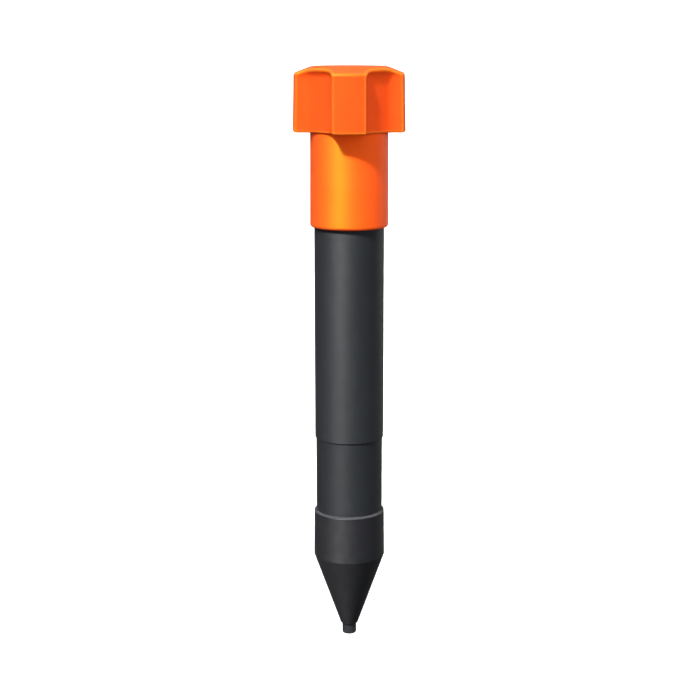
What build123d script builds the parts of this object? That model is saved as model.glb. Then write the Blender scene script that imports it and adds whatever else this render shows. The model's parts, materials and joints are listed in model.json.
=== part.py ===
"""Pinpointer probe: a hand-held metal locator in a slim round barrel with a twist cap.

Frame: millimetres, +Z along the probe from the nib to the cap, origin at the centre of the nib's tip.
Each function below makes one sub-part, standing where it is fitted with the cap screwed right down.
"""

import os

from build123d import *

# ---- outside: driving dimensions -------------------------------------------------------------------
TOTAL_LENGTH = 240.0

CAP_BOTTOM = 213.9            # lower rim of the twist cap
CAP_LOBE_RADIUS_LOW = 22.7    # over the four lobes, at the rim
CAP_LOBE_RADIUS_HIGH = 22.22  # over the four lobes, where the chamfer begins
CAP_CHAMFER_HEIGHT = 237.2
CAP_FLAT_RADIUS = 15.1        # where the chamfer's line meets the flat top
CAP_SHOULDER_ROUND = 1.4      # wall to chamfer
CAP_CROWN_ROUND = 9.0         # chamfer to flat top
LOBE_HALF_WIDTH = 6.7         # the finger scoops' side walls run straight out beside each lobe
SCOOP_VALLEY = 16.4           # scoop's floor, nearest the axis
SCOOP_FLOOR_ROUND = 6.0       # floor to side wall
SCOOP_TOP = 239.2             # where the scoop's rounded upper end would close
SCOOP_TOP_ROUND = 4.0
SCOOP_EDGE_ROUND = 0.9        # every outer edge of the scoops
CAP_RIM_ROUND = 0.8

SLEEVE_BOTTOM = 175.7         # lower edge of the coloured neck sleeve
SLEEVE_RADIUS_LOW = 15.92
SLEEVE_RADIUS_HIGH = 15.75
SLEEVE_EDGE_ROUND = 1.2
SLEEVE_SHOULDER = 213.8       # step from the sleeve to its threaded spigot
SPIGOT_TOP = 226.0

GRIP_BOTTOM = 87.6            # lower end of the thin grip sleeve
GRIP_RADIUS = 14.25
BARREL_RADIUS = 13.8
BARREL_BORE = 12.0
BARREL_BOTTOM = 41.0
BARREL_TOP = 212.0

COLLAR_TOP = 56.25            # nose moulding: collar above, cone below
COLLAR_RADIUS_HIGH = 14.7
COLLAR_RADIUS_LOW = 14.89
COLLAR_EDGE = 0.8
CONE_TOP = 36.2
NIB_TOP = 4.87
CONE_TIP_RADIUS = 3.65
NIB_RADIUS = 3.0
NIB_ROUND = 0.8
NIB_SHANK_RADIUS = 2.0
NIB_SHANK_TOP = 11.5
NOSE_BORE = 12.2              # coil's chamber inside the collar and cone
CHAMBER_TIP_RADIUS = 3.4
CHAMBER_BOTTOM = 12.6

# ---- cap thread ------------------------------------------------------------------------------------
THREAD_LEAD = 2.5             # right-handed, single start: the cap rises this much in each turn
THREAD_TURNS = 2.2
SPIGOT_ROOT_RADIUS = 13.45
SPIGOT_CREST_RADIUS = 14.55
CAP_MINOR_RADIUS = 13.75
CAP_MAJOR_RADIUS = 14.85
SPIGOT_THREAD_START = 219.4   # middle of the spigot's ridge at its lower end
CAP_THREAD_LAG = 0.3          # the cap's ridge starts this part of a turn later
RIDGE_ROOT_WIDTH = 1.5
RIDGE_CREST_WIDTH = 0.8
CAP_RIDGE_ROOT_WIDTH = 1.0
CAP_RIDGE_CREST_WIDTH = 0.5
RIDGE_SINK = 0.3              # how far a ridge is let into its wall

CAP_SKIRT_BORE = 15.25        # cap over the seal
CAP_SKIRT_TOP = 217.8
CAP_CEILING = 227.1
CAP_WELL_RADIUS = 5.5         # cored-out middle above the contact disc
CAP_WELL_TOP = 236.0

SEAL_SECTION = 0.85           # cap O-ring, section radius
SEAL_RADIUS = 14.32
SEAL_HEIGHT = 216.2
NOSE_SEAL_SECTION = 0.5
NOSE_SEAL_RADIUS = 13.28
NOSE_SEAL_HEIGHT = 47.0
NOSE_GROOVE_BORE = 12.75
NOSE_GROOVE_WIDTH = 1.3

# ---- batteries and contacts ------------------------------------------------------------------------
CELL_RADIUS = 7.25            # AA cell: 14.5 by 50.5
CELL_LENGTH = 50.5
CELL_NUB_RADIUS = 2.75
CELL_NUB_HEIGHT = 1.2
STACK_TOP = 226.5             # underside of the cap's contact disc
LOWER_CELL_BASE = STACK_TOP - 2 * CELL_LENGTH
CONTACT_DISC_RADIUS = 11.6
CONTACT_THICKNESS = 0.6
CONTACT_SCREW_X = 8.9
RING_CONTACT_INNER = 10.6
RING_CONTACT_OUTER = 13.2
CRADLE_BOTTOM = 117.0
CRADLE_FLOOR = 118.6
CRADLE_TOP = 222.0
CRADLE_INNER = 7.6
CRADLE_OUTER = 8.8
CRADLE_RIB_REACH = 11.85
CRADLE_RIB_WIDTH = 1.6
CRADLE_RING_HEIGHT = 2.0
LOWER_CONTACT_RADIUS = 6.5
LOWER_CONTACT_TOP = 119.1
SPRING_RADIUS = 4.6
SPRING_WIRE = 0.45
SPRING_TURNS = 3
STRIP_HALF_WIDTH = 2.0
STRIP_OUTER = -11.3           # the return strip lies on the -Y side of the bore
STRIP_THICKNESS = 0.3
LEAD_HOLE_X = 5.0             # battery lead's way down through the cradle's floor and the foam
LEAD_HOLE_Y = 3.5
LEAD_HOLE_RADIUS = 1.0
PAD_RADIUS = 11.7

# ---- electronics -----------------------------------------------------------------------------------
CHASSIS_BOTTOM = 60.0
CHASSIS_TOP = 116.0
CHASSIS_RADIUS = 11.9
CHASSIS_WALL = 1.2
BOARD_BACK = -3.0             # the board stands upright and its parts face +Y
BOARD_FACE = -1.4
BOARD_HALF_WIDTH = 11.3
BOARD_BOTTOM = 61.5
BOARD_TOP = 114.5
BOARD_SCREWS = ((0.0, 64.5), (-6.5, 111.0))
SCREW_RADIUS = 1.0
SCREW_HEAD_RADIUS = 1.9
SCREW_HEAD_HEIGHT = 1.3
BOSS_RADIUS = 2.3
MOTOR_RADIUS = 3.5
MOTOR_AXIS_Y = 2.5
MOTOR_BOTTOM = 88.0
MOTOR_TOP = 104.0
MOTOR_NECK_TOP = 104.8
SHAFT_RADIUS = 0.5
SHAFT_CLEARANCE = 0.05
SHAFT_BOTTOM = 98.0
SHAFT_TOP = 109.6
WEIGHT_BOTTOM = 105.3
WEIGHT_TOP = 109.3
WEIGHT_RADIUS = 3.2
CHIP_CENTRE = (0.0, 74.0)
CHIP_WIDTH = 7.5
CHIP_LENGTH = 10.3
CHIP_HEIGHT = 2.3
CHIP_PIN_PITCH = 1.27
CHIP_PINS_PER_SIDE = 8
CAPACITOR_PLACES = ((-7.0, 88.0), (-7.0, 96.0), (7.0, 88.0))
CAPACITOR_RADIUS = 2.4
CAPACITOR_HEIGHT = 5.0
CRYSTAL_CENTRE = (7.4, 74.0)
CRYSTAL_WIDTH = 3.6
CRYSTAL_LENGTH = 10.0
CRYSTAL_HEIGHT = 3.4
TRANSISTOR_X = -7.8
TRANSISTOR_HEIGHTS = (69.5, 78.5)
TRANSISTOR_RADIUS = 2.3
TRANSISTOR_LENGTH = 4.6
TRANSISTOR_FLAT_X = -9.3
RESISTOR_ROWS = ((-2.55, 82.5), (4.4, 107.5))   # first resistor's x, and the row's height
RESISTORS_PER_ROW = 4
RESISTOR_PITCH = 1.7
RESISTOR_WIDTH = 1.2
RESISTOR_LENGTH = 2.0
RESISTOR_THICKNESS = 0.6
BATTERY_LEAD_RADIUS = 0.6
BATTERY_LEAD_LOW = 111.5
MOTOR_LEAD_RADIUS = 0.35
MOTOR_LEAD_LOW = 85.3
CLIP_BOTTOM = 93.5
CLIP_TOP = 98.5
CLIP_THICKNESS = 0.6

# ---- search coil -----------------------------------------------------------------------------------
FERRITE_RADIUS = 3.0
FERRITE_BOTTOM = 13.2
FERRITE_TOP = 59.0
BOBBIN_BOTTOM = 16.5
BOBBIN_TOP = 58.0
BOBBIN_RADIUS = 4.2
FLANGE_RADIUS = 7.2
TOP_FLANGE_RADIUS = 11.9
TOP_FLANGE_BOTTOM = 56.5
RECEIVE_BOTTOM = 24.5
RECEIVE_TOP = 35.0
TRANSMIT_BOTTOM = 36.5
TRANSMIT_TOP = 54.0
COIL_RADIUS = 6.9
FLANGE_THICKNESS = 1.0
LEAD_RADIUS = 0.25
LEAD_Y = 7.4
LEAD_XS = (-1.5, -0.5, 0.5, 1.5)
POTTING_TOP = 23.5
POTTING_TOP_RADIUS = 7.46


# ---- helpers ---------------------------------------------------------------------------------------
def turned(outline, rounds=None):
    """Solid of revolution about +Z from a closed outline of (radius, height), with roundings by point."""
    points = [(r, 0, z) for r, z in outline]
    edge = FilletPolyline(*points, radius=rounds, close=True) if rounds else Polyline(*points, close=True)
    return revolve(make_face(edge), Axis.Z)


def tube(outer, inner, bottom, top):
    return turned([(inner, bottom), (outer, bottom), (outer, top), (inner, top)])


def rod(radius, bottom, top, x=0.0, y=0.0):
    upright = Cylinder(radius, top - bottom, align=(Align.CENTER, Align.CENTER, Align.MIN))
    return Pos(x, y, bottom) * upright


def block(x0, x1, y0, y1, z0, z1):
    return Pos(x0, y0, z0) * Box(x1 - x0, y1 - y0, z1 - z0, align=(Align.MIN, Align.MIN, Align.MIN))


def stud(radius, x, z, y0, y1):
    """Cylinder along +Y from y0 to y1."""
    lying = Rot(-90, 0, 0) * Cylinder(radius, y1 - y0, align=(Align.CENTER, Align.CENTER, Align.MIN))
    return Pos(x, y0, z) * lying


def wire(radius, *points):
    """Round wire along straight runs joined by arcs."""
    path = FilletPolyline(*points, radius=1.5)
    section = Plane(origin=path @ 0, z_dir=path % 0) * Circle(radius)
    return sweep(section, path=path)


def rims(shape, radius, height):
    """The round edges of a shape that have this radius and height."""
    found = shape.edges().filter_by(GeomType.CIRCLE)
    return [e for e in found if abs(e.radius - radius) < 0.02 and abs(e.arc_center.Z - height) < 0.02]


def thread_ridge(wall_radius, tip_radius, wall_width, tip_width, start, turn):
    """One helical ridge that stands from a round wall, starting at a height and a part of a turn."""
    helix = Helix(pitch=THREAD_LEAD, height=THREAD_LEAD * THREAD_TURNS, radius=wall_radius)
    sink = -RIDGE_SINK if tip_radius > wall_radius else RIDGE_SINK
    section = make_face(Polyline(
        (wall_radius + sink, 0, -wall_width / 2),
        (wall_radius, 0, -wall_width / 2),
        (tip_radius, 0, -tip_width / 2),
        (tip_radius, 0, tip_width / 2),
        (wall_radius, 0, wall_width / 2),
        (wall_radius + sink, 0, wall_width / 2),
        close=True,
    ))
    ridge = sweep(section, path=helix, is_frenet=True)
    return Pos(0, 0, start + THREAD_LEAD * turn) * Rot(0, 0, 360 * turn) * ridge


# ---- twist cap -------------------------------------------------------------------------------------
def scoop_cutter():
    """What one finger scoop takes out, on the +X side: a floor, square walls, a round upper end."""
    corner = 2 ** 0.5 * LOBE_HALF_WIDTH
    half_floor = SCOOP_VALLEY - corner
    reach = 20.0
    outline = [
        (SCOOP_VALLEY, -half_floor),
        (SCOOP_VALLEY, half_floor),
        (SCOOP_VALLEY + reach, half_floor + reach),
        (SCOOP_VALLEY + reach, -half_floor - reach),
    ]
    rounds = [SCOOP_FLOOR_ROUND, SCOOP_FLOOR_ROUND, 0, 0]
    section = make_face(FilletPolyline(*outline, radius=rounds, close=True))
    cutter = Pos(0, 0, CAP_BOTTOM - 5) * extrude(section, SCOOP_TOP - CAP_BOTTOM + 5)
    upper_end = [e for e in cutter.edges() if abs(e.center().Z - SCOOP_TOP) < 0.01]
    inner_end = [e for e in upper_end if e.center().X < SCOOP_VALLEY + reach - 1]
    return fillet(inner_end, SCOOP_TOP_ROUND)


def scoop_edges(cap):
    """The sharp edges where the scoops come out through the cap's wall and chamfer."""
    sharp = []
    for edge in cap.edges():
        if edge.center().Z < CAP_BOTTOM + 1:
            continue
        middle = edge @ 0.5
        beside = [face for face in cap.faces() if face.distance_to(middle) < 0.001]
        normals = [face.normal_at(middle) for face in beside]
        if len(normals) == 2 and normals[0].get_angle(normals[1]) > 15:
            sharp.append(edge)
    return sharp


def twist_cap():
    """Four-lobed cap: a domed round form with four finger scoops, and a threaded blind bore."""
    outline = [
        (0, CAP_BOTTOM),
        (CAP_LOBE_RADIUS_LOW, CAP_BOTTOM),
        (CAP_LOBE_RADIUS_HIGH, CAP_CHAMFER_HEIGHT),
        (CAP_FLAT_RADIUS, TOTAL_LENGTH),
        (0, TOTAL_LENGTH),
    ]
    cap = turned(outline, [0, 0, CAP_SHOULDER_ROUND, CAP_CROWN_ROUND, 0])
    cutter = scoop_cutter()
    for quarter in range(4):
        cap -= Rot(0, 0, 45 + 90 * quarter) * cutter
    cap = fillet(scoop_edges(cap), SCOOP_EDGE_ROUND)
    outer_rim = [e for e in cap.edges() if abs(e.center().Z - CAP_BOTTOM) < 0.01]
    cap = fillet(outer_rim, CAP_RIM_ROUND)
    cap -= turned([
        (0, CAP_BOTTOM - 1),
        (CAP_SKIRT_BORE, CAP_BOTTOM - 1),
        (CAP_SKIRT_BORE, CAP_SKIRT_TOP),
        (CAP_MAJOR_RADIUS, CAP_SKIRT_TOP + 0.6),
        (CAP_MAJOR_RADIUS, CAP_CEILING),
        (CAP_WELL_RADIUS, CAP_CEILING),
        (CAP_WELL_RADIUS, CAP_WELL_TOP),
        (0, CAP_WELL_TOP),
    ])
    for side in (-1, 1):
        cap -= rod(SCREW_RADIUS, CAP_CEILING - 1, CAP_CEILING + 5, x=side * CONTACT_SCREW_X)
    cap += thread_ridge(CAP_MAJOR_RADIUS, CAP_MINOR_RADIUS, CAP_RIDGE_ROOT_WIDTH, CAP_RIDGE_CREST_WIDTH,
                        SPIGOT_THREAD_START - THREAD_LEAD / 2, CAP_THREAD_LAG)
    return cap


def cap_contact():
    """Brass disc under the cap's ceiling, which joins the upper cell to the ring contact."""
    disc = rod(CONTACT_DISC_RADIUS, STACK_TOP, STACK_TOP + CONTACT_THICKNESS)
    for side in (-1, 1):
        disc -= rod(SCREW_RADIUS, STACK_TOP - 1, CAP_CEILING + 1, x=side * CONTACT_SCREW_X)
    return disc


def contact_screws():
    screws = []
    for side in (-1, 1):
        x = side * CONTACT_SCREW_X
        head = rod(1.5, STACK_TOP - 0.9, STACK_TOP, x=x)
        slot = block(x - 2, x + 2, -0.2, 0.2, STACK_TOP - 1, STACK_TOP - 0.5)
        screws.append(head - slot + rod(SCREW_RADIUS, STACK_TOP, CAP_CEILING + 4.5, x=x))
    return screws


# ---- barrel ----------------------------------------------------------------------------------------
def neck_sleeve():
    """Coloured sleeve bonded over the barrel's top, with the threaded spigot for the cap."""
    sleeve = turned([
        (GRIP_RADIUS, SLEEVE_BOTTOM),
        (SLEEVE_RADIUS_LOW, SLEEVE_BOTTOM),
        (SLEEVE_RADIUS_HIGH, SLEEVE_SHOULDER),
        (SPIGOT_ROOT_RADIUS, SLEEVE_SHOULDER),
        (SPIGOT_ROOT_RADIUS, SPIGOT_TOP),
        (BARREL_BORE, SPIGOT_TOP),
        (BARREL_BORE, BARREL_TOP),
        (GRIP_RADIUS, BARREL_TOP),
    ])
    sleeve = fillet(rims(sleeve, SLEEVE_RADIUS_LOW, SLEEVE_BOTTOM), SLEEVE_EDGE_ROUND)
    sleeve = fillet(rims(sleeve, SLEEVE_RADIUS_HIGH, SLEEVE_SHOULDER), 0.4)
    sleeve += thread_ridge(SPIGOT_ROOT_RADIUS, SPIGOT_CREST_RADIUS, RIDGE_ROOT_WIDTH, RIDGE_CREST_WIDTH,
                           SPIGOT_THREAD_START, 0)
    return sleeve


def grip_sleeve():
    """Thin hard sleeve over the upper barrel, which the hand holds."""
    sleeve = tube(GRIP_RADIUS, BARREL_RADIUS, GRIP_BOTTOM, BARREL_TOP)
    return chamfer(rims(sleeve, GRIP_RADIUS, GRIP_BOTTOM), 0.15)


def barrel_tube():
    half_groove = NOSE_GROOVE_WIDTH / 2
    return turned([
        (BARREL_BORE, BARREL_BOTTOM),
        (BARREL_RADIUS, BARREL_BOTTOM),
        (BARREL_RADIUS, NOSE_SEAL_HEIGHT - half_groove),
        (NOSE_GROOVE_BORE, NOSE_SEAL_HEIGHT - half_groove),
        (NOSE_GROOVE_BORE, NOSE_SEAL_HEIGHT + half_groove),
        (BARREL_RADIUS, NOSE_SEAL_HEIGHT + half_groove),
        (BARREL_RADIUS, BARREL_TOP),
        (BARREL_BORE, BARREL_TOP),
    ])


def nose_cone():
    """Collar and cone in one moulding: a socket for the barrel above, the coil's chamber below."""
    return turned([
        (NIB_SHANK_RADIUS, NIB_TOP),
        (CONE_TIP_RADIUS, NIB_TOP),
        (COLLAR_RADIUS_LOW, CONE_TOP),
        (COLLAR_RADIUS_HIGH, COLLAR_TOP - COLLAR_EDGE),
        (COLLAR_RADIUS_HIGH - COLLAR_EDGE, COLLAR_TOP),
        (BARREL_RADIUS, COLLAR_TOP),
        (BARREL_RADIUS, BARREL_BOTTOM),
        (NOSE_BORE, BARREL_BOTTOM),
        (NOSE_BORE, CONE_TOP),
        (CHAMBER_TIP_RADIUS, CHAMBER_BOTTOM),
        (NIB_SHANK_RADIUS, CHAMBER_BOTTOM),
    ])


def tip_nib():
    """Hard-wearing probing tip, bonded into the cone by its shank."""
    nib = rod(NIB_RADIUS, 0, NIB_TOP)
    nib = fillet(rims(nib, NIB_RADIUS, 0), NIB_ROUND)
    return nib + rod(NIB_SHANK_RADIUS, NIB_TOP, NIB_SHANK_TOP)


def cap_o_ring():
    return Pos(0, 0, SEAL_HEIGHT) * Torus(SEAL_RADIUS, SEAL_SECTION)


def nose_o_ring():
    return Pos(0, 0, NOSE_SEAL_HEIGHT) * Torus(NOSE_SEAL_RADIUS, NOSE_SEAL_SECTION)


# ---- batteries and contacts ------------------------------------------------------------------------
def ring_contact():
    return tube(RING_CONTACT_OUTER, RING_CONTACT_INNER, SPIGOT_TOP, STACK_TOP)


def return_strip():
    """Brass strip down the inside of the barrel, folded under the cradle to a tab on the board."""
    inner = STRIP_OUTER + STRIP_THICKNESS
    w = STRIP_HALF_WIDTH
    foot_bottom = CHASSIS_TOP + 0.1
    tab_front = BOARD_FACE + STRIP_THICKNESS
    rise = block(-w, w, STRIP_OUTER, inner, foot_bottom, SPIGOT_TOP)
    foot = block(-w, w, STRIP_OUTER, tab_front, foot_bottom, foot_bottom + STRIP_THICKNESS)
    tab = block(-w, w, BOARD_FACE, tab_front, BOARD_TOP - 2.5, foot_bottom + STRIP_THICKNESS)
    return rise + foot + tab


def battery(base):
    """One AA cell standing on its flat end."""
    can = rod(CELL_RADIUS, base, base + CELL_LENGTH - CELL_NUB_HEIGHT)
    can = fillet(can.edges().filter_by(GeomType.CIRCLE), 0.5)
    nub = rod(CELL_NUB_RADIUS, base + CELL_LENGTH - CELL_NUB_HEIGHT - 0.2, base + CELL_LENGTH)
    return can + nub


def battery_cradle():
    """Liner that centres the cells in the barrel: a floored tube with four ribs and a top ring."""
    cradle = rod(CRADLE_OUTER, CRADLE_BOTTOM, CRADLE_TOP)
    for quarter in range(4):
        rib = block(CRADLE_INNER, CRADLE_RIB_REACH, -CRADLE_RIB_WIDTH / 2, CRADLE_RIB_WIDTH / 2,
                    CRADLE_BOTTOM, CRADLE_TOP)
        cradle += Rot(0, 0, 45 + 90 * quarter) * rib
    for bottom in (CRADLE_BOTTOM + 20, CRADLE_TOP - CRADLE_RING_HEIGHT):
        cradle += tube(CRADLE_RIB_REACH, CRADLE_INNER, bottom, bottom + CRADLE_RING_HEIGHT)
    cradle -= rod(CRADLE_INNER, CRADLE_FLOOR, CRADLE_TOP + 1)
    strip_room = STRIP_HALF_WIDTH + 0.5
    cradle -= block(-strip_room, strip_room, -13, STRIP_OUTER + STRIP_THICKNESS + 0.4,
                    CRADLE_BOTTOM - 1, CRADLE_TOP + 1)
    cradle -= rod(LEAD_HOLE_RADIUS, CRADLE_BOTTOM - 1, CRADLE_FLOOR + 1, x=LEAD_HOLE_X, y=LEAD_HOLE_Y)
    return cradle


def lower_contact():
    return rod(LOWER_CONTACT_RADIUS, CRADLE_FLOOR, LOWER_CONTACT_TOP)


def contact_spring():
    """Compression spring that pushes both cells up against the cap's contact disc."""
    bottom = LOWER_CONTACT_TOP + SPRING_WIRE
    height = LOWER_CELL_BASE - 0.03 - SPRING_WIRE - bottom
    helix = Helix(pitch=height / SPRING_TURNS, height=height, radius=SPRING_RADIUS)
    section = Plane(origin=helix @ 0, z_dir=helix % 0) * Circle(SPRING_WIRE)
    return Pos(0, 0, bottom) * sweep(section, path=helix, is_frenet=True)


def damping_pad():
    """Foam disc between the electronics and the battery cradle, cut away for the strip and the lead."""
    pad = rod(PAD_RADIUS, CHASSIS_TOP, CRADLE_BOTTOM)
    strip_room = STRIP_HALF_WIDTH + 0.3
    pad -= block(-strip_room, strip_room, -13, BOARD_FACE + 1, CHASSIS_TOP - 1, CRADLE_BOTTOM + 1)
    return pad - rod(LEAD_HOLE_RADIUS, CHASSIS_TOP - 1, CRADLE_BOTTOM + 1, x=LEAD_HOLE_X, y=LEAD_HOLE_Y)


def battery_lead():
    return wire(
        BATTERY_LEAD_RADIUS,
        (LEAD_HOLE_X, LEAD_HOLE_Y, CRADLE_FLOOR),
        (LEAD_HOLE_X, LEAD_HOLE_Y, BATTERY_LEAD_LOW),
        (LEAD_HOLE_X, BOARD_FACE, BATTERY_LEAD_LOW),
    )


# ---- electronics -----------------------------------------------------------------------------------
def circuit_chassis():
    """Half-round tray behind the board, with end walls and two screw bosses."""
    tray = tube(CHASSIS_RADIUS, CHASSIS_RADIUS - CHASSIS_WALL, CHASSIS_BOTTOM, CHASSIS_TOP)
    for bottom in (CHASSIS_BOTTOM, CHASSIS_TOP - CHASSIS_WALL):
        tray += rod(CHASSIS_RADIUS, bottom, bottom + CHASSIS_WALL)
    for x, z in BOARD_SCREWS:
        reach = -((CHASSIS_RADIUS - 0.6) ** 2 - (abs(x) + BOSS_RADIUS) ** 2) ** 0.5
        tray += stud(BOSS_RADIUS, x, z, reach, BOARD_BACK)
    tray -= block(-13, 13, BOARD_BACK, 13, CHASSIS_BOTTOM - 1, CHASSIS_TOP + 1)
    for x, z in BOARD_SCREWS:
        tray -= stud(SCREW_RADIUS, x, z, BOARD_BACK - 4.5, BOARD_BACK + 1)
    return tray


def circuit_board():
    board = block(-BOARD_HALF_WIDTH, BOARD_HALF_WIDTH, BOARD_BACK, BOARD_FACE, BOARD_BOTTOM, BOARD_TOP)
    for x, z in BOARD_SCREWS:
        board -= stud(SCREW_RADIUS, x, z, BOARD_BACK - 1, BOARD_FACE + 1)
    return board


def board_screws():
    screws = []
    for x, z in BOARD_SCREWS:
        head = stud(SCREW_HEAD_RADIUS, x, z, BOARD_FACE, BOARD_FACE + SCREW_HEAD_HEIGHT)
        slot = block(x - 3, x + 3, BOARD_FACE + 0.7, BOARD_FACE + 2, z - 0.25, z + 0.25)
        screws.append(head - slot + stud(SCREW_RADIUS, x, z, BOARD_BACK - 4.4, BOARD_FACE))
    return screws


def control_chip():
    x, z = CHIP_CENTRE
    return block(x - CHIP_WIDTH / 2, x + CHIP_WIDTH / 2, BOARD_FACE + 0.1, BOARD_FACE + CHIP_HEIGHT,
                 z - CHIP_LENGTH / 2, z + CHIP_LENGTH / 2)


def chip_pins():
    """Gull-wing legs: out of the chip's side and down to the board."""
    x, z = CHIP_CENTRE
    pins = []
    for side in (-1, 1):
        for i in range(CHIP_PINS_PER_SIDE):
            low = z + (i - (CHIP_PINS_PER_SIDE - 1) / 2) * CHIP_PIN_PITCH - 0.2
            inner = x + side * CHIP_WIDTH / 2
            knee = inner + side * 0.7
            toe = inner + side * 1.5
            arm = block(min(inner, knee), max(inner, knee),
                        BOARD_FACE + 1.0, BOARD_FACE + 1.25, low, low + 0.4)
            leg = block(min(knee, knee - side * 0.25), max(knee, knee - side * 0.25),
                        BOARD_FACE, BOARD_FACE + 1.25, low, low + 0.4)
            pad = block(min(knee, toe), max(knee, toe), BOARD_FACE, BOARD_FACE + 0.25, low, low + 0.4)
            pins.append(arm + leg + pad)
    return pins


def capacitors():
    """Three aluminium cans standing on the board beside the motor."""
    top = BOARD_FACE + CAPACITOR_HEIGHT
    return [stud(CAPACITOR_RADIUS, x, z, BOARD_FACE, top) for x, z in CAPACITOR_PLACES]


def clock_crystal():
    x, z = CRYSTAL_CENTRE
    case = block(x - CRYSTAL_WIDTH / 2, x + CRYSTAL_WIDTH / 2, BOARD_FACE, BOARD_FACE + CRYSTAL_HEIGHT,
                 z - CRYSTAL_LENGTH / 2, z + CRYSTAL_LENGTH / 2)
    return fillet(case.edges().filter_by(Axis.Y), 1.5)


def driver_transistors():
    """Two flat-sided transistors that drive the coil and the motor."""
    made = []
    for z in TRANSISTOR_HEIGHTS:
        body = stud(TRANSISTOR_RADIUS, TRANSISTOR_X, z, BOARD_FACE, BOARD_FACE + TRANSISTOR_LENGTH)
        made.append(body - block(TRANSISTOR_FLAT_X - 3, TRANSISTOR_FLAT_X, -5, 6, z - 3, z + 3))
    return made


def chip_resistors():
    """Small surface-mounted resistors in two rows."""
    made = []
    for first, row in RESISTOR_ROWS:
        for i in range(RESISTORS_PER_ROW):
            left = first + RESISTOR_PITCH * i - RESISTOR_WIDTH / 2
            low = row - RESISTOR_LENGTH / 2
            made.append(block(left, left + RESISTOR_WIDTH, BOARD_FACE, BOARD_FACE + RESISTOR_THICKNESS,
                              low, low + RESISTOR_LENGTH))
    return made


def motor_can():
    can = rod(MOTOR_RADIUS, MOTOR_BOTTOM, MOTOR_TOP, y=MOTOR_AXIS_Y)
    can = fillet(can.edges().filter_by(GeomType.CIRCLE), 0.4)
    can += rod(1.5, MOTOR_TOP, MOTOR_NECK_TOP, y=MOTOR_AXIS_Y)
    return can - rod(SHAFT_RADIUS + SHAFT_CLEARANCE, SHAFT_BOTTOM - 0.5, MOTOR_NECK_TOP + 1, y=MOTOR_AXIS_Y)


def motor_clip():
    """Strap bent over the motor, with a foot on the board."""
    outer = MOTOR_RADIUS + CLIP_THICKNESS
    strap = rod(outer, CLIP_BOTTOM, CLIP_TOP, y=MOTOR_AXIS_Y)
    strap += block(-outer, outer, BOARD_FACE, MOTOR_AXIS_Y, CLIP_BOTTOM, CLIP_TOP)
    strap -= rod(MOTOR_RADIUS, CLIP_BOTTOM - 1, CLIP_TOP + 1, y=MOTOR_AXIS_Y)
    strap -= block(-MOTOR_RADIUS, MOTOR_RADIUS, BOARD_FACE - 1, MOTOR_AXIS_Y, CLIP_BOTTOM - 1, CLIP_TOP + 1)
    return strap + block(outer, outer + 1.2, BOARD_FACE, BOARD_FACE + CLIP_THICKNESS, CLIP_BOTTOM, CLIP_TOP)


def motor_leads():
    made = []
    for x in (-1.2, 1.2):
        start = (x, MOTOR_AXIS_Y, MOTOR_BOTTOM)
        corner = (x, MOTOR_AXIS_Y, MOTOR_LEAD_LOW)
        made.append(wire(MOTOR_LEAD_RADIUS, start, corner, (x, BOARD_FACE, MOTOR_LEAD_LOW)))
    return made


def motor_shaft():
    return rod(SHAFT_RADIUS, SHAFT_BOTTOM, SHAFT_TOP, y=MOTOR_AXIS_Y)


def eccentric_weight():
    """Half-round weight with a hub, pressed on the motor's shaft."""
    weight = rod(WEIGHT_RADIUS, WEIGHT_BOTTOM, WEIGHT_TOP, y=MOTOR_AXIS_Y)
    weight -= block(-4, 4, MOTOR_AXIS_Y - 4, MOTOR_AXIS_Y, WEIGHT_BOTTOM - 1, WEIGHT_TOP + 1)
    weight += rod(1.2, WEIGHT_BOTTOM, WEIGHT_TOP, y=MOTOR_AXIS_Y)
    return weight - rod(SHAFT_RADIUS, WEIGHT_BOTTOM - 1, WEIGHT_TOP + 1, y=MOTOR_AXIS_Y)


# ---- search coil -----------------------------------------------------------------------------------
def ferrite_rod():
    return rod(FERRITE_RADIUS, FERRITE_BOTTOM, FERRITE_TOP)


def coil_bobbin():
    """Flanged former on the ferrite rod, notched on its +Y side for the leads."""
    bobbin = tube(BOBBIN_RADIUS, FERRITE_RADIUS, BOBBIN_BOTTOM, BOBBIN_TOP)
    bobbin += tube(FLANGE_RADIUS, FERRITE_RADIUS, RECEIVE_BOTTOM - FLANGE_THICKNESS, RECEIVE_BOTTOM)
    bobbin += tube(FLANGE_RADIUS, FERRITE_RADIUS, RECEIVE_TOP, TRANSMIT_BOTTOM)
    bobbin += tube(FLANGE_RADIUS, FERRITE_RADIUS, TRANSMIT_TOP, TRANSMIT_TOP + FLANGE_THICKNESS)
    bobbin += tube(TOP_FLANGE_RADIUS, FERRITE_RADIUS, TOP_FLANGE_BOTTOM, BOBBIN_TOP)
    return bobbin - block(-2.2, 2.2, LEAD_Y - 0.6, 13, RECEIVE_TOP - 1, BOBBIN_TOP + 1)


def receive_coil():
    return tube(COIL_RADIUS, BOBBIN_RADIUS, RECEIVE_BOTTOM, RECEIVE_TOP)


def transmit_coil():
    return tube(COIL_RADIUS, BOBBIN_RADIUS, TRANSMIT_BOTTOM, TRANSMIT_TOP)


def coil_leads():
    """Four enamelled leads, two from each coil, up to the board's lower edge."""
    starts = (RECEIVE_TOP - 2, TRANSMIT_TOP - 2, TRANSMIT_TOP - 2, RECEIVE_TOP - 2)
    return [wire(LEAD_RADIUS, (x, LEAD_Y, z), (x, LEAD_Y, 60.5), (x, BOARD_FACE + LEAD_RADIUS, 67.5))
            for x, z in zip(LEAD_XS, starts)]


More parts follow.
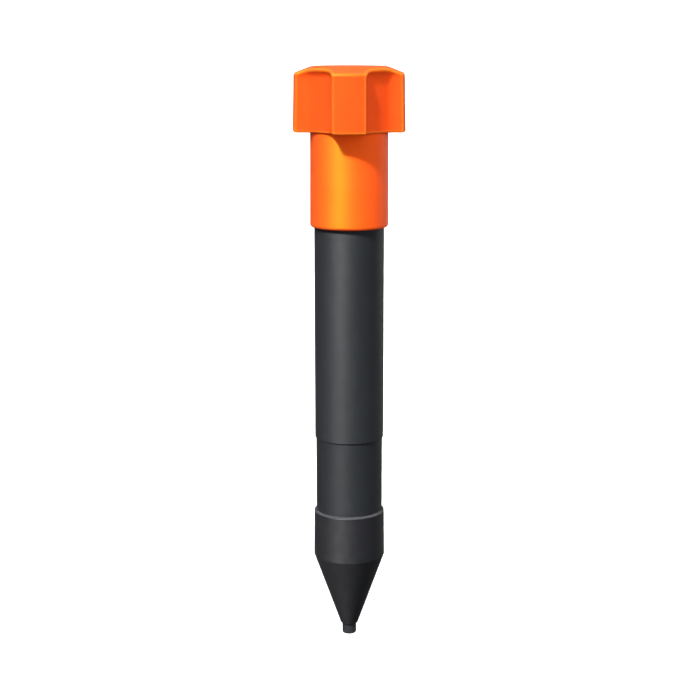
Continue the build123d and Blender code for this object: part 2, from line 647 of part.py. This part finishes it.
def coil_potting():
    """Resin that holds the coil's lower end in the cone."""
    return turned([
        (0, CHAMBER_BOTTOM),
        (CHAMBER_TIP_RADIUS, CHAMBER_BOTTOM),
        (POTTING_TOP_RADIUS, POTTING_TOP),
        (BOBBIN_RADIUS, POTTING_TOP),
        (BOBBIN_RADIUS, BOBBIN_BOTTOM),
        (FERRITE_RADIUS, BOBBIN_BOTTOM),
        (FERRITE_RADIUS, FERRITE_BOTTOM),
        (0, FERRITE_BOTTOM),
    ])


# ---- write every sub-part --------------------------------------------------------------------------
SUBPARTS = {
    "twist_cap": twist_cap,
    "cap_contact": cap_contact,
    "contact_screws": contact_screws,
    "neck_sleeve": neck_sleeve,
    "grip_sleeve": grip_sleeve,
    "barrel_tube": barrel_tube,
    "nose_cone": nose_cone,
    "tip_nib": tip_nib,
    "cap_o_ring": cap_o_ring,
    "nose_o_ring": nose_o_ring,
    "ring_contact": ring_contact,
    "return_strip": return_strip,
    "battery_upper": lambda: battery(LOWER_CELL_BASE + CELL_LENGTH),
    "battery_lower": lambda: battery(LOWER_CELL_BASE),
    "battery_cradle": battery_cradle,
    "lower_contact": lower_contact,
    "contact_spring": contact_spring,
    "damping_pad": damping_pad,
    "battery_lead": battery_lead,
    "circuit_chassis": circuit_chassis,
    "circuit_board": circuit_board,
    "board_screws": board_screws,
    "control_chip": control_chip,
    "chip_pins": chip_pins,
    "capacitors": capacitors,
    "clock_crystal": clock_crystal,
    "driver_transistors": driver_transistors,
    "chip_resistors": chip_resistors,
    "motor_can": motor_can,
    "motor_clip": motor_clip,
    "motor_leads": motor_leads,
    "motor_shaft": motor_shaft,
    "eccentric_weight": eccentric_weight,
    "ferrite_rod": ferrite_rod,
    "coil_bobbin": coil_bobbin,
    "receive_coil": receive_coil,
    "transmit_coil": transmit_coil,
    "coil_leads": coil_leads,
    "coil_potting": coil_potting,
}

os.makedirs("parts", exist_ok=True)
for name, make in SUBPARTS.items():
    made = make()
    shape = Compound(children=made) if isinstance(made, list) else made
    export_step(shape, f"parts/{name}.step")
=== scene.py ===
"""Looks for the pinpointer probe: materials, finer coil windings, studio and camera. Metres."""

import json
import math

import bpy
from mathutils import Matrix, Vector


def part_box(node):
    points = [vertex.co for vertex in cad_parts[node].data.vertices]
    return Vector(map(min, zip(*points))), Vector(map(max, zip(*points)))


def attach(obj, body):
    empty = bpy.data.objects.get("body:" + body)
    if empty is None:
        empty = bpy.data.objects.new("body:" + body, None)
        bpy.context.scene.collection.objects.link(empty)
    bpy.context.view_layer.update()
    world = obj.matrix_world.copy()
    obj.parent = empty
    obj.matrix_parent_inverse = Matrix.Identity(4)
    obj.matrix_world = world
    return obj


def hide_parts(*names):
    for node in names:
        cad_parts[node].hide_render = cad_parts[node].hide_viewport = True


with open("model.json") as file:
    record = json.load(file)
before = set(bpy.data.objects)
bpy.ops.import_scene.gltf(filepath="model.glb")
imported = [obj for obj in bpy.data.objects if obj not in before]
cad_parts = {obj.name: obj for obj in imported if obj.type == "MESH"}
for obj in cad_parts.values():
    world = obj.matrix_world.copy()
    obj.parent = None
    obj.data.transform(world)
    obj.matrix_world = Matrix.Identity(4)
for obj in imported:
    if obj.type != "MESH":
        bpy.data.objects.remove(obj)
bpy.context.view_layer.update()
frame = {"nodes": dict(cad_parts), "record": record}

WINDING_PITCH = 0.00035       # one turn of the coils' enamelled wire
EDGE_REACH = 0.0011           # how far the paler look, a painted highlight, runs in from a moulded edge
EDGE_FADE = (0.8, 0.98)       # occlusion inside the plastic at which an edge is fully and not at all paler, a painted highlight
RIM_HEIGHT = 0.00085          # paler rim at the top of the collar, a painted highlight
RIM_BLEND = 0.2               # the part of the rim's height over which it fades in
BOBBIN_WALL = 0.0012          # bobbin between the ferrite rod and the windings
GRAIN_SIZE = 0.0004           # moulded skin's and bare metal's finest marks
MOULDED_GRAIN = 0.000004      # how deep each skin's marks are
METAL_GRAIN = 0.0000002
FILM_GRAIN = 0.000002
RUBBER_GRAIN = 0.000006
TRACK_HEIGHT = 0.00003

# ---- camera and studio: sizes in metres, angles in degrees -------------------------------------------
CAMERA_LENS_MM = 75.6
CAMERA_PLACE = (0.00033, -0.5961, 0.2499)
CAMERA_PITCH_DOWN = 11.9
KEY = dict(azimuth_left=30.0, elevation=50.5, strength=4.7, softness=4.0)
FILL = dict(azimuth_left=-30.0, elevation=38.0, strength=2.3, softness=130.0)     # seen only in matt surfaces
BACK = dict(azimuth_left=-178.0, elevation=28.0, strength=2.2, softness=70.0)     # seen only in matt surfaces
GLINT = dict(azimuth_left=38.0, elevation=50.5, strength=64.0, softness=8.0)      # seen only in gloss
RIM = dict(azimuth_left=-125.0, elevation=5.0, strength=0.6, softness=40.0)       # seen only in gloss
WORLD_STRENGTH = 0.16
STUDIO_GREY = (0.5, 0.5, 0.5, 1)
STUDIO_GLOW = 1.0
FLOOR_HALF = 8.0
BACKDROP_HEIGHT = 8.0


# ---- material building blocks ------------------------------------------------------------------------
class Nodes:
    """A material's node tree, with short calls for the nodes that these materials share."""

    def __init__(self, name):
        self.material = bpy.data.materials.new(name)
        self.material.use_nodes = True
        self.tree = self.material.node_tree
        self.shader = self.tree.nodes["Principled BSDF"]
        self.place = self.add("ShaderNodeTexCoord").outputs["Object"]

    def add(self, kind, **settings):
        node = self.tree.nodes.new(kind)
        for key, value in settings.items():
            setattr(node, key, value)
        return node

    def link(self, source, target):
        self.tree.links.new(source, target)

    def noise(self, size, detail=3.0, stretch=(1, 1, 1)):
        """Noise whose features are about this many metres across."""
        mapping = self.add("ShaderNodeMapping")
        mapping.inputs["Scale"].default_value = tuple(k / size for k in stretch)
        self.link(self.place, mapping.inputs["Vector"])
        texture = self.add("ShaderNodeTexNoise")
        texture.inputs["Scale"].default_value = 1.0
        texture.inputs["Detail"].default_value = detail
        self.link(mapping.outputs[0], texture.inputs["Vector"])
        return texture.outputs["Fac"]

    def ramp(self, source, *stops):
        """Colour ramp: stops are (position, colour)."""
        node = self.add("ShaderNodeValToRGB")
        elements = node.color_ramp.elements
        elements[0].position, elements[1].position = stops[0][0], stops[-1][0]
        elements[0].color, elements[1].color = (*stops[0][1], 1), (*stops[-1][1], 1)
        for position, colour in stops[1:-1]:
            elements.new(position).color = (*colour, 1)
        self.link(source, node.inputs["Fac"])
        return node.outputs["Color"]

    def spread(self, source, low, high, start=0.3, end=0.7):
        """Map the source's values between start and end to values between low and high."""
        node = self.add("ShaderNodeMapRange")
        node.inputs["From Min"].default_value = start
        node.inputs["From Max"].default_value = end
        node.inputs["To Min"].default_value = low
        node.inputs["To Max"].default_value = high
        self.link(source, node.inputs["Value"])
        return node.outputs["Result"]

    def bump(self, source, depth):
        """Raise the skin by the source, at most this many metres."""
        node = self.add("ShaderNodeBump")
        node.inputs["Strength"].default_value = 1.0
        node.inputs["Distance"].default_value = depth
        self.link(source, node.inputs["Height"])
        self.link(node.outputs["Normal"], self.shader.inputs["Normal"])

    def set(self, **values):
        """Set the shader's own sockets by name, with underscores for spaces."""
        for key, value in values.items():
            self.shader.inputs[key.replace("_", " ")].default_value = value


def tinted(colour, factor):
    return tuple(min(1.0, c * factor) for c in colour)


def painted_edge_highlight(m):
    """Mask for a painted highlight on outer edges: it rises where the plastic is thin in front of an outer
    edge.
    """
    depth = m.add("ShaderNodeAmbientOcclusion", inside=True, only_local=True, samples=8)
    depth.inputs["Distance"].default_value = EDGE_REACH
    return m.spread(depth.outputs["AO"], 1, 0, *EDGE_FADE)


def collar_rim(m):
    """Mask over the collar's rounded upper edge, where a painted highlight ring lies."""
    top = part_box("nose_cone")[1][2]
    xyz = m.add("ShaderNodeSeparateXYZ")
    m.link(m.place, xyz.inputs[0])
    return m.spread(xyz.outputs["Z"], 0, 1, top - RIM_HEIGHT, top - RIM_HEIGHT * (1 - RIM_BLEND))


def moulded_plastic(name, colour, roughness, mottle=0.05, paler=None, where=painted_edge_highlight, matt=False, **extra):
    """Injection-moulded plastic: a faint cloud in the colour, a satin skin and a fine grain.

    With paler, the mask that where makes turns to that colour, a painted highlight, and with matt it loses
    its gloss too.
    """
    m = Nodes(name)
    cloud = m.noise(0.009, detail=4)
    skin = m.ramp(cloud, (0.3, tinted(colour, 1 - mottle)), (0.7, tinted(colour, 1 + mottle)))
    # Painted highlight: where the mask rises, the colour turns paler.
    if paler:
        mix = m.add("ShaderNodeMix", data_type="RGBA")
        factor, base, highlight_socket = [socket for socket in mix.inputs if socket.enabled]
        mask = where(m)
        m.link(mask, factor)
        if matt:
            gloss = m.spread(mask, extra.pop("Specular_IOR_Level"), 0, 0, 1)
            m.link(gloss, m.shader.inputs["Specular IOR Level"])
        m.link(skin, base)
        highlight_socket.default_value = (*paler, 1)
        skin = [socket for socket in mix.outputs if socket.enabled][0]
    m.link(skin, m.shader.inputs["Base Color"])
    satin = m.spread(m.noise(0.0025, detail=5), roughness - 0.04, roughness + 0.04)
    m.link(satin, m.shader.inputs["Roughness"])
    m.bump(m.noise(GRAIN_SIZE, detail=2), MOULDED_GRAIN)
    m.set(**extra)
    return m.material


def metal(name, colour, roughness, brush=(1, 1, 1)):
    """Bare metal with a brushed or drawn skin: brush stretches the scratches."""
    m = Nodes(name)
    scratches = m.noise(GRAIN_SIZE, detail=2, stretch=brush)
    m.link(m.ramp(m.noise(0.004, detail=4), (0.3, tinted(colour, 0.88)), (0.7, tinted(colour, 1.06))),
           m.shader.inputs["Base Color"])
    m.link(m.spread(scratches, roughness - 0.04, roughness + 0.04), m.shader.inputs["Roughness"])
    m.bump(scratches, METAL_GRAIN)
    m.set(Metallic=1.0)
    return m.material


def cell_wrap(name):
    """A battery's printed film: bare steel at both ends, a pale band, and blue between."""
    m = Nodes(name)
    low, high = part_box("battery_lower")
    xyz = m.add("ShaderNodeSeparateXYZ")
    m.link(m.place, xyz.inputs[0])
    along = m.add("ShaderNodeMapRange", clamp=False)
    along.inputs["From Min"].default_value = low[2]
    along.inputs["From Max"].default_value = high[2]
    m.link(xyz.outputs["Z"], along.inputs["Value"])
    within = m.add("ShaderNodeMath", operation="FRACT")
    m.link(along.outputs["Result"], within.inputs[0])
    steel, blue, pale = (0.6, 0.6, 0.58), (0.02, 0.07, 0.22), (0.7, 0.72, 0.74)
    m.link(m.ramp(within.outputs[0], (0.0, steel), (0.018, steel), (0.022, blue), (0.7, blue), (0.704, pale),
                  (0.76, pale), (0.764, blue), (0.95, blue), (0.955, steel), (1.0, steel)),
           m.shader.inputs["Base Color"])
    m.link(m.spread(m.noise(0.003, detail=4), 0.26, 0.29), m.shader.inputs["Roughness"])
    m.bump(m.noise(0.0012, detail=2), FILM_GRAIN)
    m.set(Metallic=0.55)
    return m.material


def board_mask(name):
    """Solder mask over copper tracks, which show as a paler net in the green."""
    m = Nodes(name)
    mapping = m.add("ShaderNodeMapping")
    mapping.inputs["Rotation"].default_value = (math.radians(90), 0, 0)
    mapping.inputs["Scale"].default_value = (1000, 1000, 1000)
    m.link(m.place, mapping.inputs["Vector"])
    tracks = m.add("ShaderNodeTexBrick", offset=0.37, squash=1.6)
    for socket, value in (("Scale", 0.55), ("Mortar Size", 0.06), ("Mortar Smooth", 0.2),
                          ("Brick Width", 1.3), ("Row Height", 0.55)):
        tracks.inputs[socket].default_value = value
    tracks.inputs["Color1"].default_value = (0.012, 0.10, 0.035, 1)
    tracks.inputs["Color2"].default_value = (0.016, 0.12, 0.045, 1)
    tracks.inputs["Mortar"].default_value = (0.05, 0.24, 0.09, 1)
    m.link(mapping.outputs[0], tracks.inputs["Vector"])
    m.link(tracks.outputs["Color"], m.shader.inputs["Base Color"])
    m.link(m.spread(m.noise(0.002), 0.28, 0.38), m.shader.inputs["Roughness"])
    m.bump(tracks.outputs["Fac"], TRACK_HEIGHT)
    return m.material


def rubber(name, colour, roughness=0.62):
    """Soft seal or foam: dull, slightly dusty and finely pitted."""
    m = Nodes(name)
    m.link(m.ramp(m.noise(0.003, detail=5), (0.3, tinted(colour, 0.8)), (0.7, tinted(colour, 1.25))),
           m.shader.inputs["Base Color"])
    m.link(m.spread(m.noise(0.0008), roughness - 0.08, roughness + 0.08), m.shader.inputs["Roughness"])
    m.bump(m.noise(0.0003), RUBBER_GRAIN)
    return m.material


# ---- materials, by slot ------------------------------------------------------------------------------
ORANGE = (0.95, 0.088, 0.012)
# Paler orange on the cap's outer edges: a painted highlight where they catch the light.
ORANGE_PAINTED_HIGHLIGHT = (1.0, 0.25, 0.022)
ORANGE_TINT = (1.0, 0.64, 0.0, 1)
DARK = (0.0155, 0.0178, 0.021)
# Fine marks round the axis draw the gloss out along it.
TURNED = dict(Anisotropic=0.45, Anisotropic_Rotation=0.25)
MATERIALS = {
    # The cap's outer edges carry a painted highlight in paler orange.
    "cap_orange": moulded_plastic("cap_orange", tinted(ORANGE, 0.98), 0.48, paler=ORANGE_PAINTED_HIGHLIGHT,
                                  Specular_Tint=ORANGE_TINT, Specular_IOR_Level=0.07),
    "sleeve_orange": moulded_plastic("sleeve_orange", ORANGE, 0.52, Specular_Tint=ORANGE_TINT,
                                     Specular_IOR_Level=0.5, **TURNED),
    "grip_dark": moulded_plastic("grip_dark", DARK, 0.5, Specular_IOR_Level=0.125, **TURNED),
    "barrel_dark": moulded_plastic("barrel_dark", tinted(DARK, 0.95), 0.5, Specular_IOR_Level=0.105,
                                   **TURNED),
    # The collar's rounded upper edge carries a painted highlight ring in paler grey, without gloss.
    "nose_black": moulded_plastic("nose_black", (0.0115, 0.0118, 0.015), 0.48, paler=(0.06, 0.06, 0.066),
                                  where=collar_rim, matt=True, Specular_IOR_Level=0.14, **TURNED),
    "nib_dark": moulded_plastic("nib_dark", tinted(DARK, 0.9), 0.48, Specular_IOR_Level=0.2),
    "seal_rubber": rubber("seal_rubber", (0.02, 0.02, 0.021)),
    "foam": rubber("foam", (0.04, 0.04, 0.045), 0.85),
    "contact_brass": metal("contact_brass", (0.83, 0.6, 0.28), 0.28, brush=(1, 1, 0.2)),
    "screw_steel": metal("screw_steel", (0.6, 0.6, 0.58), 0.3),
    "spring_steel": metal("spring_steel", (0.68, 0.68, 0.66), 0.22),
    "cell_jacket": cell_wrap("cell_jacket"),
    "liner_plastic": moulded_plastic("liner_plastic", (0.62, 0.62, 0.58), 0.45),
    "board_green": board_mask("board_green"),
    "chip_epoxy": moulded_plastic("chip_epoxy", (0.018, 0.018, 0.02), 0.55),
    "tinned_metal": metal("tinned_metal", (0.76, 0.76, 0.75), 0.33),
    "capacitor_can": metal("capacitor_can", (0.74, 0.75, 0.76), 0.25, brush=(1, 0.1, 1)),
    "crystal_can": metal("crystal_can", (0.74, 0.74, 0.74), 0.25, brush=(1, 0.1, 1)),
    "resistor_body": moulded_plastic("resistor_body", (0.03, 0.03, 0.035), 0.5),
    "motor_steel": metal("motor_steel", (0.72, 0.72, 0.7), 0.28, brush=(1, 1, 0.1)),
    "tungsten": metal("tungsten", (0.36, 0.35, 0.34), 0.42),
    "wire_red": moulded_plastic("wire_red", (0.5, 0.03, 0.02), 0.4),
    "ferrite": moulded_plastic("ferrite", (0.05, 0.046, 0.046), 0.6),
    "bobbin_plastic": moulded_plastic("bobbin_plastic", (0.7, 0.67, 0.58), 0.45),
    "magnet_wire": metal("magnet_wire", (0.6, 0.22, 0.08), 0.3, brush=(0.05, 0.05, 1)),
    "resin": moulded_plastic("resin", (0.09, 0.07, 0.05), 0.2),
}

slot_of = {s["node"]: s["material_slot"] for s in frame["record"]["subparts"]}
for node, obj in frame["nodes"].items():
    for holder in obj.material_slots:
        holder.material = MATERIALS[slot_of[node]]


# ---- pieces that are finer than the CAD --------------------------------------------------------------
def lathe(name, profile, slot, stands_for, body="barrel", segments=96):
    """Ring about the probe's axis, from a closed profile of (radius, height), in place of a CAD node."""
    count = len(profile)
    points, faces = [], []
    for i in range(segments):
        angle = 2 * math.pi * i / segments
        points += [(r * math.cos(angle), r * math.sin(angle), z) for r, z in profile]
        here, beyond = i * count, (i + 1) % segments * count
        for j in range(count):
            k = (j + 1) % count
            faces.append((here + j, beyond + j, beyond + k, here + k))
    mesh = bpy.data.meshes.new(name)
    mesh.from_pydata(points, [], faces)
    mesh.shade_smooth()
    mesh.set_sharp_from_angle(angle=math.radians(50))
    mesh.materials.append(MATERIALS[slot])
    piece = bpy.data.objects.new(name, mesh)
    bpy.context.collection.objects.link(piece)
    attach(piece, body)
    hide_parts(stands_for)


def winding(node, inner_radius):
    """A coil's outer layer as separate turns of round wire, as wide and as long as its CAD node."""
    low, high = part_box(node)
    outer = high[0]
    turns = round((high[2] - low[2]) / WINDING_PITCH)
    pitch = (high[2] - low[2]) / turns
    profile = [(inner_radius, high[2]), (inner_radius, low[2])]
    for turn in range(turns):
        middle = low[2] + pitch * (turn + 0.5)
        for step in range(-3, 4):
            angle = math.radians(28 * step)
            radius = outer - pitch / 2 * (1 - math.cos(angle))
            profile.append((radius, middle + pitch / 2 * math.sin(angle)))
    lathe(node + "_turns", profile, "magnet_wire", node)


core_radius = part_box("ferrite_rod")[1][0]
for coil in ("receive_coil", "transmit_coil"):
    winding(coil, core_radius + BOBBIN_WALL)


# ---- studio ------------------------------------------------------------------------------------------
def light_direction(azimuth_left, elevation):
    """From the object towards a light that stands to the left of the viewer and above."""
    a, e = math.radians(azimuth_left), math.radians(elevation)
    return Vector((-math.sin(a) * math.cos(e), -math.cos(a) * math.cos(e), math.sin(e)))


def sun(name, azimuth_left, elevation, strength, softness):
    light = bpy.data.lights.new(name, "SUN")
    light.energy = strength
    light.angle = math.radians(softness)
    obj = bpy.data.objects.new(name, light)
    obj.rotation_euler = light_direction(azimuth_left, elevation).to_track_quat("Z", "Y").to_euler()
    bpy.context.collection.objects.link(obj)
    return obj


def studio():
    """Key light with a crisp shadow, wide fills, lights for the gloss, and a pale floor and backdrop."""
    sun("key", **KEY)
    sun("glint", **GLINT).visible_diffuse = False
    sun("rim", **RIM).visible_diffuse = False
    for name, light in (("fill", FILL), ("back", BACK)):
        sun(name, **light).visible_glossy = False
    world = bpy.data.worlds.new("studio")
    world.use_nodes = True
    world.node_tree.nodes["Background"].inputs["Color"].default_value = (1, 1, 1, 1)
    world.node_tree.nodes["Background"].inputs["Strength"].default_value = WORLD_STRENGTH
    bpy.context.scene.world = world
    ring = [(x * FLOOR_HALF, y * FLOOR_HALF) for x, y in ((-1, -1), (1, -1), (1, 1), (-1, 1))]
    corners = [(x, y, z) for z in (0, BACKDROP_HEIGHT) for x, y in ring]
    paper = Nodes("studio_white")
    paper.set(Base_Color=STUDIO_GREY, Roughness=1.0, Specular_IOR_Level=0.0,
              Emission_Color=(1, 1, 1, 1), Emission_Strength=STUDIO_GLOW)
    walls = [(i, (i + 1) % 4, (i + 1) % 4 + 4, i + 4) for i in range(4)]
    for name, faces in (("floor", [(0, 1, 2, 3)]), ("backdrop", walls)):
        mesh = bpy.data.meshes.new(name)
        mesh.from_pydata(corners, [], faces)
        mesh.materials.append(paper.material)
        piece = bpy.data.objects.new(name, mesh)
        bpy.context.collection.objects.link(piece)
        piece.visible_diffuse = False
        piece.visible_glossy = False
        piece.visible_shadow = name == "floor"


def camera():
    """Long lens a little above the cap's height, looking down at the probe."""
    data = bpy.data.cameras.new("camera")
    data.lens = CAMERA_LENS_MM
    data.sensor_width = 36.0
    obj = bpy.data.objects.new("camera", data)
    obj.location = CAMERA_PLACE
    obj.rotation_euler = (math.radians(90 - CAMERA_PITCH_DOWN), 0, 0)
    bpy.context.collection.objects.link(obj)
    bpy.context.scene.camera = obj
    bpy.context.scene.view_settings.view_transform = "Standard"


studio()
camera()
